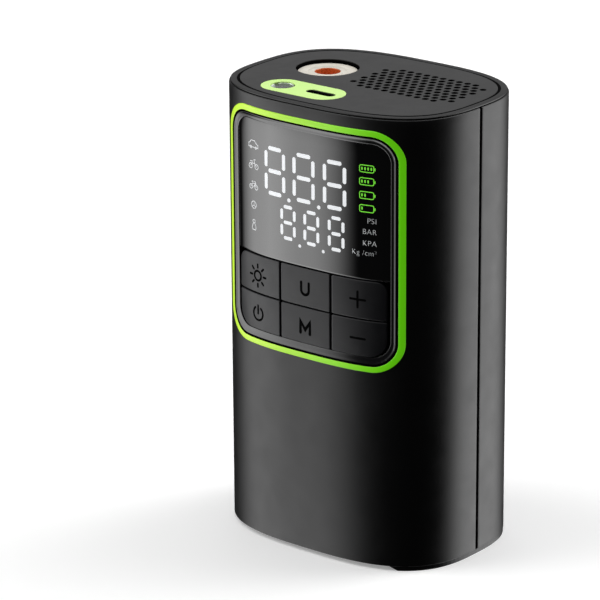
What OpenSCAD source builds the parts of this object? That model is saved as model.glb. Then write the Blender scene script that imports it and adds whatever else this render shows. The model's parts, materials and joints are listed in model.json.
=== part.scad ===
// Hand-held cordless tire inflator: a split shell on two end feet, a display and
// keypad window on the front, and a geared piston pump with its battery inside.
// Frame: origin on the resting plane under the middle of the body, front towards -Y.

/* [Body] */
// Width of the body, end to end
body_w = 75; // [75:0.5:80]
// Depth of the body, front to back
body_d = 56.3; // [56.3:0.1:60]
// Height from the shells' bottom edge to the top face
body_h = 125.8; // [125.8:0.1:130]
// Squareness of the outline, where 2 is an ellipse and more is boxier
squareness = 2.885; // [2.88:0.005:3.2]
// Wall thickness of the two shells
wall = 2; // [1.8:0.1:2]
// Width of the groove where the two shells meet
seam_gap = 0.7; // [0.4:0.1:1]
// Height of the end feet below the shells
foot_h = 1.2; // [1:0.1:2]
// Number of corners in each body outline
outline_steps = 128; // [96:8:160]

/* [Panel] */
// Width of the coloured ring round the front panel
panel_w = 59.3; // [58:0.1:60]
// Height of the coloured ring
panel_h = 66.8; // [66:0.1:67]
// Bottom edge of the ring above the shells' bottom edge
panel_rise = 55.2; // [54.8:0.1:55.4]
// Corner radius of the ring
panel_r = 8.6; // [7:0.1:9]
// Face width of the ring
ring_w = 1.6; // [1.2:0.1:2]
// How far the ring stands proud of the shell
ring_proud = 0.2; // [0.2:0.1:0.8]
// Depth of the display and the buttons behind the shell's surface
face_sink = 0.6; // [0.5:0.1:0.8]
// Travel of each button
button_travel = 0.6; // [0.3:0.1:0.6]
// Gap between neighbouring buttons
button_gap = 0.35; // [0.2:0.05:0.5]

/* [Top] */
// Spacing of the vent holes
vent_pitch = 2.72; // [2.5:0.01:2.8]
// Diameter of a vent hole
vent_d = 1.95; // [1:0.05:2]
// Length of the stadium plate that holds the torch and the charging socket
port_plate_l = 25.9; // [25.5:0.1:26.5]
// Width of that plate
port_plate_w = 11.7; // [11.5:0.1:12]
// Tapping diameter of the air outlet's thread
outlet_bore_d = 7; // [6.8:0.05:7.2]

/* [Pump] */
// Gear module
gear_module = 0.8; // [0.78:0.01:0.8]
// Teeth on the drive gear
gear_teeth = 44; // [40:2:44]
// Teeth on the motor pinion
pinion_teeth = 10; // [9:1:10]
// Distance from the gear's axis to the crank pin
crank_r = 5; // [4.5:0.1:5]
// Bore of the pump cylinder
cylinder_bore_d = 16; // [15:0.5:16]

/* [Hidden] */
$fn = 64;
fit = 0.05;
far = 60;

// Heights of the body
z_bottom = foot_h;
z_top = foot_h + body_h;
z_shell_top = z_top - 0.55;

// Rim: a frame let into the shells' top edge, and the cover inside it
rim_edge_inset = 0.3;
rim_edge_h = 0.25;
rim_seat_inset = 1.0;
rim_seat_depth = 3;
rim_inner_inset = 2.15;
cover_inset = 2.7;
cover_t = 2;
ledge_inset = 4.6;
ledge_t = 2.5;

// Bottom cover, its screws and the shell bosses that take them
base_t = 2.5;
boss_x = 23;
boss_y = 20;
boss_r = 3.6;
boss_h = 11.5;
screw_r = 1.05;
screw_gap = 0.15;
screw_head_r = 2.2;
screw_head_h = 1.4;
case_screw_l = 9;
foot_inner_x = 26;
foot_ramp = 2;
foot_inset = [2, 0.1];
foot_w = 5;
foot_peg_x = 33.6;
foot_peg_y = 6;
foot_peg_h = 1.8;
foot_peg_r = 1.2;

// Front panel: everything is placed from the ring's outline
panel_z = z_bottom + panel_rise + panel_h / 2;
window_inset = 3.25;
window_w = panel_w - 2 * window_inset;
window_bottom = z_bottom + panel_rise + 3.8;
window_top = z_bottom + panel_rise + panel_h - 3.6;
window_r = 5.4;
lens_bottom = z_bottom + 80.85;
lens_t = 1.5;
key_field_w = 50.8;
key_field_top = lens_bottom - 0.45;
key_field_bottom = window_bottom + 0.15;
key_row_z = z_bottom + 69.5;
key_col_x = 8.66;
key_t = 2;
key_stem_r = 1.5;
key_gap = button_gap / 2;
key_x = [-far, -key_col_x, key_col_x, far];
key_z = [key_field_bottom - 1, key_row_z, key_field_top + 1];
stem_x = [-17, 0, 17];
stem_z = [z_bottom + 64, z_bottom + 74.8];
key_top_r = 3;
key_bottom_r = 5;
switch_gap = 0.1;
mat_inset = face_sink + key_t + 0.9;
mat_t = 0.7;
mat_hole_gap = 0.4;
bezel_crest_inset = 0.15;
bezel_step_inset = 0.4;
bezel_shelf_w = 1.4;
panel_depth_y = -8;

// Control board
board_front_y = -18.5;
board_t = 1.6;
board_back_y = board_front_y + board_t;
board_half_w = 27;
board_z0 = 50;
board_z1 = 116;
board_screw_x = 14;
board_screw_z = 52.5;
board_boss_r = 2.8;
switch_body = 6;
switch_h = 2;
plunger_r = 1.4;
plunger_h = 0.8;

// Top features, by their centres
outlet_x = -18.06;
outlet_y = 5.34;
outlet_recess_r = 8.75;
outlet_ring_r = 8.35;
outlet_sink = 1;
outlet_ring_t = 2;
outlet_lip_t = 0.7;
outlet_neck_t = 0.65;
outlet_thread_h = 8.15;
port_x = -9.41;
port_y = -16.06;
port_plate_t = 1.2;
port_gap = 0.2;
reflector_wall = 0.6;
usb_x = -3.43;
usb_shell_l = 9.2;
usb_shell_w = 3;
usb_shell_t = 0.25;
torch_x = -16.46;
torch_r = 3.4;
reflector_throat_r = 1.8;
port_board_z = 116.9;
port_board_t = 1.2;
vent_x = 12.49;
vent_y = 5.64;

// Pump: the motor lies front to back, the gear stands behind it, the piston moves up
gear_r = gear_module * gear_teeth / 2;
pinion_r = gear_module * pinion_teeth / 2;
gear_x = -14;
gear_z = 40.6;
motor_x = -6;
centre_distance = gear_r + pinion_r;
motor_z = gear_z - sqrt(centre_distance * centre_distance - pow(motor_x - gear_x, 2));
mesh_angle = atan2(motor_z - gear_z, motor_x - gear_x);
plate_y0 = 6.5;
plate_t = 2;
frame_ears = [[8.5, 38], [-24, 14]];
ear_r = 3.5;
gear_y0 = 9;
gear_t = 3.5;
axle_r = 2;
bushing_r = 3.2;
axle_head_r = 3.1;
crank_pin_r = 1.5;
rod_y0 = 14.5;
rod_t = 3;
pump_y = rod_y0 + rod_t / 2;
rod_length = 28.4;
motor_r = 12.2;
motor_l = 28.8;
shaft_r = 1;
shaft_depth = 6.5;
motor_boss_r = 3;
motor_screw_x = 8;
motor_screw_r = 0.95;
motor_screw_head_r = 1.8;
can_wall = 0.8;
end_cap_t = 3;
tab_x = 4;
tab_rise = 3;
tab_reach = 1.2;

// Cylinder and head, stacked on the frame's shelf
bore_r = cylinder_bore_d / 2;
piston_r = bore_r - 0.25;
shelf_z = gear_z + gear_r + 1.6;
shelf_t = 2;
cylinder_r = 9;
fin_r = 9.4;
cylinder_h = 18;
cylinder_z = shelf_z + shelf_t;
piston_h = 4;
piston_z = gear_z - crank_r + rod_length;
head_z = cylinder_z + cylinder_h;
head_h = 8.5;
head_bolt_r = 6.5;
head_screw_r = 0.95;
chamber_r = 2.8;
chamber_z = head_z + 2;
chamber_h = 5;
valve_r = 2.4;
valve_t = 1;
nipple_r = 1.8;
nipple_h = 4;
air_bore_r = 0.9;

// Air tube: an S bend in the plane that holds the pump's and the outlet's axes
tube_ri = nipple_r + fit;
tube_ro = 3;
tube_bend_r = 10;
tube_dx = outlet_x - gear_x;
tube_dy = outlet_y - pump_y;
tube_offset = norm([tube_dx, tube_dy]);
tube_angle = acos(1 - tube_offset / (2 * tube_bend_r));
tube_z0 = head_z + head_h + 0.5;
tube_straight = 4.5;
tube_rise = tube_straight + 2 * tube_bend_r * sin(tube_angle);
tube_bend_steps = 7;
tube_sides = 24;
outlet_body_h = 8.5;
outlet_nipple_z = z_top - outlet_sink - outlet_ring_t - outlet_body_h;

// Battery: two round cells standing side by side in depth
cell_r = 9.15;
cell_h = 65;
cell_x = 22;
cell_y = 3;
cell_half_pitch = 9.5;
cell_z = 17.5;
tab_half_w = 3;
tab_half_l = cell_half_pitch + 4;
tab_t = 0.3;
holder_r = 9.85;

shell_colour = "#2b2b2d";
trim_colour = "#333335";
lime = "#a4e21e";

// ---- shared shapes ----

// Body outline moved inwards by inset
function oval(inset) = [for (i = [0:outline_steps - 1])
    let (t = 360 * i / outline_steps)
    [sign(cos(t)) * (body_w / 2 - inset) * pow(abs(cos(t)), 2 / squareness),
     sign(sin(t)) * (body_d / 2 - inset) * pow(abs(sin(t)), 2 / squareness)]];

module oval_prism(inset, z0, z1) {
    translate([0, 0, z0]) linear_extrude(z1 - z0) polygon(oval(inset));
}

module oval_tube(outer, inner, z0, z1) {
    translate([0, 0, z0]) linear_extrude(z1 - z0) difference() {
        polygon(oval(outer));
        polygon(oval(inner));
    }
}

// Extrudes a profile drawn in x and z from y0 back to y1
module along_y(y0, y1) {
    translate([0, y1, 0]) rotate([90, 0, 0]) linear_extrude(y1 - y0) children();
}

module rod_y(x, z, y0, y1, r) {
    translate([x, y1, z]) rotate([90, 0, 0]) cylinder(r = r, h = y1 - y0);
}

module rod_z(x, y, z0, z1, r) {
    translate([x, y, z0]) cylinder(r = r, h = z1 - z0);
}

module rounded_rect(w, h, r) {
    square([w - 2 * r, h], center = true);
    square([w, h - 2 * r], center = true);
    for (sx = [-1, 1], sz = [-1, 1])
        translate([sx * (w / 2 - r), sz * (h / 2 - r)]) circle(r);
}

module stadium(l, w) {
    square([l - w, w], center = true);
    for (s = [-1, 1]) translate([s * (l - w) / 2, 0]) circle(d = w);
}

module stadium_prism(x, y, z0, z1, l, w) {
    translate([x, y, z0]) linear_extrude(z1 - z0) stadium(l, w);
}

module box(low, high) {
    translate(low) cube(high - low);
}

// Ring outline, grown or shrunk by inset
module panel_outline(inset) {
    translate([0, panel_z])
        rounded_rect(panel_w - 2 * inset, panel_h - 2 * inset, max(panel_r - inset, 1));
}

module window_outline(inset) {
    translate([0, (window_bottom + window_top) / 2])
        rounded_rect(window_w - 2 * inset, window_top - window_bottom - 2 * inset,
            window_r - inset);
}

// A curved slab of the front surface between two insets, cut to a profile in x and z
module front_slab(outer, inner) {
    intersection() {
        oval_tube(outer, inner, z_bottom + panel_rise - 2, z_top - 1);
        along_y(-far, panel_depth_y) children();
    }
}

// ---- casing ----

module shell_half(side) {
    cut = side * seam_gap / 2;
    difference() {
        intersection() {
            oval_tube(0, wall, z_bottom, z_shell_top);
            if (side < 0) box([-far, -far, 0], [far, cut, z_top]);
            if (side > 0) box([-far, cut, 0], [far, far, z_top]);
        }
        oval_prism(rim_seat_inset, z_top - rim_seat_depth, z_top);
    }
}

// Screw bosses on the floor side of a shell; each hole stops short of the boss's end
module shell_bosses(side) {
    z0 = z_bottom + base_t;
    blind = 2;
    for (s = [-1, 1]) difference() {
        intersection() {
            rod_z(s * boss_x, side * boss_y, z0, z0 + boss_h, boss_r);
            oval_prism(wall / 2, 0, z_top);
        }
        rod_z(s * boss_x, side * boss_y, 0, z0 + boss_h - blind, screw_r + fit);
    }
}

module front_shell() {
    board_hole_end = -24;
    color(shell_colour) {
        difference() {
            union() {
                shell_half(-1);
                for (s = [-1, 1]) intersection() {
                    rod_y(s * board_screw_x, board_screw_z, -far, board_front_y, board_boss_r);
                    oval_prism(wall / 2, 0, z_top);
                }
            }
            along_y(-far, panel_depth_y) panel_outline(-fit);
            for (s = [-1, 1])
                rod_y(s * board_screw_x, board_screw_z, board_hole_end, panel_depth_y, screw_r + fit);
        }
        shell_bosses(-1);
    }
}

// The rear shell carries the tongue that closes the seam, and two bosses for the pump
module rear_shell() {
    lip_t = 1.2;
    lip_reach = 3;
    ear_boss_r = ear_r - 0.5;
    ear_hole_depth = 8;
    lip_z0 = z_bottom + base_t + 0.5;
    lip_z1 = z_top - rim_seat_depth - ledge_t;
    color(shell_colour) {
        shell_half(1);
        shell_bosses(1);
        for (p = frame_ears) difference() {
            intersection() {
                rod_y(p[0], p[1], plate_y0 + plate_t, far, ear_boss_r);
                oval_prism(wall / 2, 0, z_top);
            }
            rod_y(p[0], p[1], 0, plate_y0 + plate_t + ear_hole_depth, screw_r + fit);
        }
        intersection() {
            oval_tube(wall + fit, wall + lip_t, lip_z0, lip_z1);
            box([-far, -lip_reach, 0], [far, lip_reach, z_top]);
        }
        intersection() {
            oval_tube(wall / 2, wall + lip_t, lip_z0, lip_z1);
            box([-far, seam_gap / 2 + fit, 0], [far, lip_reach, z_top]);
        }
    }
}

module top_frame() {
    color(trim_colour) {
        oval_tube(rim_edge_inset, rim_inner_inset, z_top - rim_edge_h, z_top);
        oval_tube(rim_seat_inset + fit, rim_inner_inset, z_top - rim_seat_depth,
            z_top - rim_edge_h);
        oval_tube(wall + fit, ledge_inset, z_top - cover_t - ledge_t, z_top - cover_t);
    }
}

// Staggered rows of vent holes; the first and last rows are shorter
module vent_holes() {
    rows = 4;
    full_row = 13;
    end_row = 10;
    row_step = vent_pitch * sin(60);
    for (r = [-rows:rows]) {
        count = abs(r) == rows ? end_row : full_row - 1 + abs(r) % 2;
        for (i = [0:count - 1])
            rod_z(vent_x + (i - (count - 1) / 2) * vent_pitch, vent_y + r * row_step,
                z_top - cover_t - 1, z_top + 1, vent_d / 2);
    }
}

module top_cover() {
    color(trim_colour) difference() {
        oval_prism(cover_inset, z_top - cover_t, z_top);
        vent_holes();
        rod_z(outlet_x, outlet_y, z_top - cover_t - 1, z_top + 1, outlet_recess_r);
        stadium_prism(port_x, port_y, z_top - port_plate_t, z_top + 1,
            port_plate_l + 4 * fit, port_plate_w + 4 * fit);
        stadium_prism(usb_x, port_y, z_top - cover_t - 1, z_top, usb_shell_l + 2 * port_gap,
            usb_shell_w + 2 * port_gap);
        rod_z(torch_x, port_y, z_top - cover_t - 1, z_top, torch_r + reflector_wall + port_gap);
    }
}

module bottom_cover() {
    color(shell_colour) difference() {
        oval_prism(wall + 2 * fit, z_bottom, z_bottom + base_t);
        for (sx = [-1, 1], sy = [-1, 1]) {
            rod_z(sx * boss_x, sy * boss_y, 0, z_top, screw_r + screw_gap);
            rod_z(sx * boss_x, sy * boss_y, 0, z_bottom + screw_head_h + 2 * fit,
                screw_head_r + 2 * fit);
            rod_z(sx * foot_peg_x, sy * foot_peg_y, 0, z_bottom + foot_peg_h + 2 * fit,
                foot_peg_r + fit);
        }
    }
}

// A foot under each end, ramped at its ends; the left one stands further in
module end_feet() {
    color(shell_colour) for (s = [-1, 1]) {
        inset = foot_inset[(s + 1) / 2];
        intersection() {
            oval_tube(inset, inset + foot_w, 0, z_bottom);
            along_y(-far, far) polygon([[s * foot_inner_x, z_bottom],
                [s * (foot_inner_x + foot_ramp), 0], [s * far, 0], [s * far, z_bottom]]);
        }
        for (sy = [-1, 1])
            rod_z(s * foot_peg_x, sy * foot_peg_y, z_bottom / 2, z_bottom + foot_peg_h,
                foot_peg_r);
    }
}

module case_screws() {
    slot_l = 2.6;
    slot_w = 0.5;
    slot_depth = 0.8;
    z0 = z_bottom + 2 * fit;
    color("silver") for (sx = [-1, 1], sy = [-1, 1]) difference() {
        union() {
            rod_z(sx * boss_x, sy * boss_y, z0, z_bottom + screw_head_h, screw_head_r);
            rod_z(sx * boss_x, sy * boss_y, z0, z_bottom + case_screw_l, screw_r);
        }
        for (a = [0, 90]) translate([sx * boss_x, sy * boss_y, z_bottom])
            rotate([0, 0, a]) cube([slot_l, slot_w, 2 * slot_depth], center = true);
    }
}

// ---- front panel ----

module panel_ring() {
    color(lime) front_slab(-ring_proud, wall) difference() {
        panel_outline(0);
        panel_outline(ring_w);
    }
}

// Stepped frame: a crest beside the ring, a slope level, and a shelf behind the lens
module panel_bezel() {
    step = (window_inset - ring_w) / 2;
    color(trim_colour) {
        front_slab(bezel_crest_inset, mat_inset) difference() {
            panel_outline(ring_w + fit);
            panel_outline(ring_w + step);
        }
        front_slab(bezel_step_inset, mat_inset) difference() {
            panel_outline(ring_w + step - fit);
            window_outline(0);
        }
        front_slab(face_sink + lens_t, mat_inset) difference() {
            panel_outline(ring_w + step);
            window_outline(bezel_shelf_w);
            translate([0, lens_bottom - far]) square(2 * far, center = true);
        }
    }
}

module display_lens() {
    color([0.06, 0.06, 0.07, 0.9]) front_slab(face_sink, face_sink + lens_t) intersection() {
        window_outline(2 * fit);
        translate([-far, lens_bottom]) square(2 * far);
    }
}

module display_module() {
    half_w = 23;
    front_y = -23;
    z0 = 85;
    z1 = 115;
    color("#1a1a1c") box([-half_w, front_y, z0], [half_w, board_front_y, z1]);
}

// A button: a curved cap with a short stem behind it
module button(x0, x1, z0, z1, stem_x, stem_z) {
    color("#2f2f33") {
        front_slab(face_sink, face_sink + key_t) intersection() {
            key_field();
            translate([x0, z0]) square([x1 - x0, z1 - z0]);
        }
        intersection() {
            rod_y(stem_x, stem_z, -far, board_front_y - switch_h - plunger_h
                - button_travel - switch_gap, key_stem_r);
            oval_prism(face_sink + key_t / 2, z_bottom, z_top);
        }
    }
}

// The six buttons together fill this rounded block
module key_field() {
    top_r = key_top_r;
    bottom_r = key_bottom_r;
    w = key_field_w;
    translate([-w / 2, key_field_bottom + bottom_r])
        square([w, key_field_top - top_r - key_field_bottom - bottom_r]);
    translate([-w / 2 + bottom_r, key_field_bottom]) square([w - 2 * bottom_r, bottom_r]);
    translate([-w / 2 + top_r, key_field_top - top_r]) square([w - 2 * top_r, top_r]);
    for (s = [-1, 1]) {
        translate([s * (w / 2 - bottom_r), key_field_bottom + bottom_r]) circle(bottom_r);
        translate([s * (w / 2 - top_r), key_field_top - top_r]) circle(top_r);
    }
}

module key(col, row) {
    button(key_x[col] + key_gap, key_x[col + 1] - key_gap, key_z[row] + key_gap,
        key_z[row + 1] - key_gap, stem_x[col], stem_z[row]);
}

module light_button() { key(0, 1); }
module unit_button() { key(1, 1); }
module plus_button() { key(2, 1); }
module power_button() { key(0, 0); }
module mode_button() { key(1, 0); }
module minus_button() { key(2, 0); }

module keypad_mat() {
    color("#222224") difference() {
        front_slab(mat_inset + fit, mat_inset + mat_t)
            translate([-key_field_w / 2, window_bottom])
                square([key_field_w, key_field_top - window_bottom]);
        for (x = stem_x, z = stem_z)
            rod_y(x, z, -far, panel_depth_y, key_stem_r + mat_hole_gap);
    }
}

// ---- electronics ----

// Each chip is [x, z, width, height, thickness]
module control_board() {
    chips = [[-6, 92, 10, 10, 1], [-12, 72, 6, 6, 1], [0, 62, 8, 8, 1.2]];
    color("#0d5c2f") difference() {
        box([-board_half_w, board_front_y, board_z0], [board_half_w, board_back_y, board_z1]);
        for (s = [-1, 1])
            rod_y(s * board_screw_x, board_screw_z, -far, far, screw_r + screw_gap);
    }
    color("#141414") for (c = chips)
        box([c[0], board_back_y - fit, c[1]], [c[0] + c[2], board_back_y + c[4], c[1] + c[3]]);
}

module tact_switches() {
    color("#3a3a3c") for (x = stem_x, z = stem_z) {
        translate([x, board_front_y - switch_h / 2, z])
            cube([switch_body, switch_h, switch_body], center = true);
        rod_y(x, z, board_front_y - switch_h - plunger_h, board_front_y - switch_h / 2, plunger_r);
    }
}

module board_screws() {
    length = 7;
    head_r = 2;
    back = board_back_y;
    color("silver") for (s = [-1, 1]) {
        rod_y(s * board_screw_x, board_screw_z, back - length, back + screw_head_h, screw_r);
        rod_y(s * board_screw_x, board_screw_z, back, back + screw_head_h, head_r);
    }
}

module pressure_sensor() {
    x = -20;
    z = 98;
    half = 4;
    body_t = 4;
    port_r = 1.4;
    port_l = 3;
    bore = 0.6;
    back = board_back_y;
    color("#1c1c1c") difference() {
        union() {
            box([x - half, back, z - half], [x + half, back + body_t, z + half]);
            rod_y(x, z, back + body_t - 1, back + body_t + port_l, port_r);
        }
        rod_y(x, z, back + body_t / 2, far, bore);
    }
}

// ---- ports on top ----

module port_plate() {
    color("#c2f57e") difference() {
        stadium_prism(port_x, port_y, z_top - port_plate_t, z_top, port_plate_l, port_plate_w);
        stadium_prism(usb_x, port_y, 0, z_top + 1, usb_shell_l + 2 * fit, usb_shell_w + 2 * fit);
        rod_z(torch_x, port_y, 0, z_top + 1, torch_r);
    }
}

module port_board() {
    low = [-21.8, -20.2, port_board_z];
    high = [3.7, -9.7, port_board_z + port_board_t];
    color("#0d5c2f") box(low, high);
}

module usb_socket() {
    floor_t = 1;
    tongue = [6.4, 0.7, 5];
    z0 = port_board_z + port_board_t;
    z1 = z_top - 2 * fit;
    color("silver") difference() {
        stadium_prism(usb_x, port_y, z0, z1, usb_shell_l, usb_shell_w);
        stadium_prism(usb_x, port_y, z0 + floor_t, z1 + 1, usb_shell_l - 2 * usb_shell_t,
            usb_shell_w - 2 * usb_shell_t);
    }
    color("#111111") translate([usb_x, port_y, z0 + tongue[2] / 2 + 2 * usb_shell_t])
        cube(tongue, center = true);
}

module torch_reflector() {
    cone_rise = 1.6;
    z0 = port_board_z + port_board_t;
    z1 = z_top - port_plate_t - fit;
    color("gainsboro") difference() {
        rod_z(torch_x, port_y, z0, z1, torch_r + reflector_wall);
        translate([torch_x, port_y, z0 + cone_rise])
            cylinder(r1 = reflector_throat_r, r2 = torch_r, h = z1 - z0 - cone_rise + 0.01);
        rod_z(torch_x, port_y, z0 - 1, z0 + cone_rise + 2 * fit, reflector_throat_r);
    }
}

module torch_led() {
    base_h = 1.4;
    dome_r = 1.3;
    z0 = port_board_z + port_board_t;
    color("#d8d060") {
        rod_z(torch_x, port_y, z0, z0 + base_h, reflector_throat_r - 0.2);
        translate([torch_x, port_y, z0 + base_h - 2 * fit]) intersection() {
            sphere(dome_r);
            box([-dome_r, -dome_r, 0], [dome_r, dome_r, dome_r]);
        }
    }
}

module torch_lens() {
    sink = 0.3;
    color([0.9, 0.95, 1, 0.4])
        rod_z(torch_x, port_y, z_top - port_plate_t + fit / 2, z_top - sink, torch_r - fit);
}

module outlet_ring() {
    z1 = z_top - outlet_sink;
    color("#efe9dc") difference() {
        rod_z(outlet_x, outlet_y, z1 - outlet_ring_t, z1, outlet_ring_r);
        rod_z(outlet_x, outlet_y, 0, z_top, outlet_bore_d / 2 + 2 * fit);
        rod_z(outlet_x, outlet_y, 0, z1 - outlet_lip_t,
            outlet_bore_d / 2 + outlet_neck_t + fit);
    }
}

// Threaded insert: the bore's wall is at the thread's tapping diameter
module outlet_fitting() {
    flange_t = 2;
    flange_w = 1.2;
    body_wall = 1.5;
    z1 = z_top - outlet_sink - outlet_lip_t - fit;
    z_flange = z_top - outlet_sink - outlet_ring_t;
    color("#b8622a") difference() {
        union() {
            rod_z(outlet_x, outlet_y, z_flange - 1, z1, outlet_bore_d / 2 + outlet_neck_t);
            rod_z(outlet_x, outlet_y, z_flange - flange_t, z_flange, outlet_ring_r + flange_w);
            rod_z(outlet_x, outlet_y, outlet_nipple_z, z_flange, outlet_bore_d / 2 + body_wall);
            rod_z(outlet_x, outlet_y, outlet_nipple_z - nipple_h, outlet_nipple_z + 1, nipple_r);
        }
        rod_z(outlet_x, outlet_y, z1 - outlet_thread_h, z_top, outlet_bore_d / 2);
        rod_z(outlet_x, outlet_y, 0, z_top, air_bore_r);
    }
}

// ---- pump ----

// Involute of a circle of radius rb, at roll angle t in degrees
function involute(rb, t) = [rb * (cos(t) + t * PI / 180 * sin(t)),
    rb * (sin(t) - t * PI / 180 * cos(t))];
function turned(p, a) = [p[0] * cos(a) - p[1] * sin(a), p[0] * sin(a) + p[1] * cos(a)];
function roll_at(rb, r) = sqrt(pow(max(r / rb, 1), 2) - 1) * 180 / PI;

// Spur gear outline with a tooth centred on its x axis
module spur_outline(teeth) {
    pressure = 20;
    backlash = 0.12;
    r = gear_module * teeth / 2;
    rb = r * cos(pressure);
    addendum = 0.8;
    dedendum = 1.1;
    tip = r + addendum * gear_module;
    root = r - dedendum * gear_module;
    steps = 3;
    half_tooth = 90 / teeth - backlash / 2 / r * 180 / PI;
    flank_turn = half_tooth + tan(pressure) * 180 / PI - pressure;
    flank = [for (i = [0:steps])
        turned(involute(rb, roll_at(rb, tip) * i / steps), -flank_turn)];
    root_edge = [root * cos(flank_turn), -root * sin(flank_turn)];
    lower = concat([root_edge], root < rb ? flank : [for (i = [1:steps]) flank[i]]);
    upper = [for (i = [len(lower) - 1:-1:0]) [lower[i][0], -lower[i][1]]];
    tooth = concat(lower, upper);
    polygon([for (k = [0:teeth - 1]) for (p = tooth) turned(p, 360 * k / teeth)]);
}

module drive_gear() {
    hole_circle_r = 11;
    hole_r = 2.6;
    color("#e8e4d8") difference() {
        along_y(gear_y0, gear_y0 + gear_t) translate([gear_x, gear_z])
            rotate(mesh_angle) spur_outline(gear_teeth);
        rod_y(gear_x, gear_z, 0, far, bushing_r);
        rod_y(gear_x, gear_z - crank_r, 0, far, crank_pin_r);
        for (a = [30:60:330])
            rod_y(gear_x + hole_circle_r * cos(a), gear_z + hole_circle_r * sin(a), 0, far, hole_r);
    }
}

// The pin stops just short of the rod's eye, so that gear and piston can move apart
module crank_pin() {
    eye_gap = 0.3;
    color("silver") rod_y(gear_x, gear_z - crank_r, gear_y0, rod_y0 - eye_gap, crank_pin_r);
}

module gear_bushing() {
    color("#c08a3e") difference() {
        rod_y(gear_x, gear_z, gear_y0, gear_y0 + gear_t, bushing_r);
        rod_y(gear_x, gear_z, 0, far, axle_r + fit);
    }
}

module gear_axle() {
    head_y = gear_y0 + gear_t + 0.2;
    head_t = 1;
    color("silver") {
        rod_y(gear_x, gear_z, plate_y0, head_y + head_t, axle_r);
        rod_y(gear_x, gear_z, head_y, head_y + head_t, axle_head_r);
    }
}

module pinion() {
    color("#c9a23c") difference() {
        along_y(gear_y0 - 2 * fit, gear_y0 + gear_t + 2 * fit) translate([motor_x, motor_z])
            rotate(mesh_angle + 180 + 180 / pinion_teeth) spur_outline(pinion_teeth);
        rod_y(motor_x, motor_z, 0, far, shaft_r);
    }
}

module motor_shaft() {
    color("silver") rod_y(motor_x, motor_z, plate_y0 - shaft_depth + 0.5,
        gear_y0 + gear_t + 0.6, shaft_r);
}

module motor_can() {
    color("#9a9da0") difference() {
        union() {
            rod_y(motor_x, motor_z, plate_y0 - motor_l, plate_y0, motor_r);
            rod_y(motor_x, motor_z, plate_y0 - 1, plate_y0 + 1.5, motor_boss_r);
        }
        rod_y(motor_x, motor_z, plate_y0 - shaft_depth, far, shaft_r + fit);
        for (s = [-1, 1])
            rod_y(motor_x + s * motor_screw_x, motor_z, plate_y0 - 3, far, motor_screw_r + fit);
        rod_y(motor_x, motor_z, -far, plate_y0 - motor_l + end_cap_t, motor_r - can_wall);
    }
}

module motor_end_cap() {
    proud = 0.6;
    lug_half_w = 1;
    tab_h = 4;
    y0 = plate_y0 - motor_l;
    color("#e6e2d6")
        rod_y(motor_x, motor_z, y0 - proud, y0 + end_cap_t, motor_r - can_wall - fit);
    color("#c9a23c") for (s = [-1, 1]) translate([motor_x + s * tab_x, 0, motor_z + tab_rise])
        box([-lug_half_w, y0 - tab_reach, 0], [lug_half_w, y0, tab_h]);
}

// Two insulated leads from the motor's tabs up to the control board
module motor_leads() {
    lead_r = 0.6;
    bend_r = 3;
    y = plate_y0 - motor_l - tab_reach - lead_r;
    z_bend = 49;
    for (s = [-1, 1]) color(s < 0 ? "#b02020" : "#1a1a1a") {
        rod_z(motor_x + s * tab_x, y, motor_z + tab_rise, z_bend, lead_r);
        translate([motor_x + s * tab_x, y + bend_r, z_bend]) rotate([0, 0, 180])
            rotate([90, 0, 90]) rotate_extrude(angle = 90) translate([bend_r, 0]) circle(lead_r);
        rod_y(motor_x + s * tab_x, z_bend + bend_r, y + bend_r, board_front_y, lead_r);
    }
}

module motor_screws() {
    head_t = 1;
    y1 = plate_y0 + plate_t;
    color("silver") for (s = [-1, 1]) {
        rod_y(motor_x + s * motor_screw_x, motor_z, plate_y0 - 2.5, y1 + head_t, motor_screw_r);
        rod_y(motor_x + s * motor_screw_x, motor_z, y1, y1 + head_t, motor_screw_head_r);
    }
}

module pump_frame() {
    web_r = 11;
    web_half_w = 10;
    arm_l = 14;
    y1 = plate_y0 + plate_t;
    color("#3c3f42") difference() {
        union() {
            along_y(plate_y0, y1) hull() {
                translate([motor_x, motor_z]) circle(motor_r + 0.5, $fn = 32);
                translate([gear_x, gear_z]) circle(web_r, $fn = 32);
                translate([gear_x - web_half_w, shelf_z]) square([2 * web_half_w, 1]);
            }
            along_y(plate_y0, y1)
                translate([gear_x - web_half_w, shelf_z - 2 * shelf_t])
                    square([2 * web_half_w, 3 * shelf_t]);
            for (p = frame_ears) {
                rod_y(p[0], p[1], plate_y0, y1, ear_r);
                along_y(plate_y0, y1) translate(p)
                    rotate(atan2(gear_z - p[1] - 8, motor_x - p[0]))
                        translate([0, -ear_r + 0.5]) square([arm_l, 2 * ear_r - 1]);
            }
            rod_z(gear_x, pump_y, shelf_z, shelf_z + shelf_t, cylinder_r);
            box([gear_x - cylinder_r, plate_y0, shelf_z],
                [gear_x + cylinder_r, pump_y, shelf_z + shelf_t]);
        }
        rod_z(gear_x, pump_y, 0, z_top, bore_r);
        rod_y(gear_x, gear_z, 0, far, axle_r);
        rod_y(motor_x, motor_z, 0, far, motor_boss_r + fit);
        for (s = [-1, 1])
            rod_y(motor_x + s * motor_screw_x, motor_z, 0, far, motor_screw_r + fit);
        for (p = frame_ears) rod_y(p[0], p[1], 0, far, screw_r + screw_gap);
    }
}

module frame_screws() {
    bite = 7;
    color("silver") for (p = frame_ears) {
        rod_y(p[0], p[1], plate_y0 - screw_head_h, plate_y0 + plate_t + bite, screw_r);
        rod_y(p[0], p[1], plate_y0 - screw_head_h, plate_y0, screw_head_r);
    }
}

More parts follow.
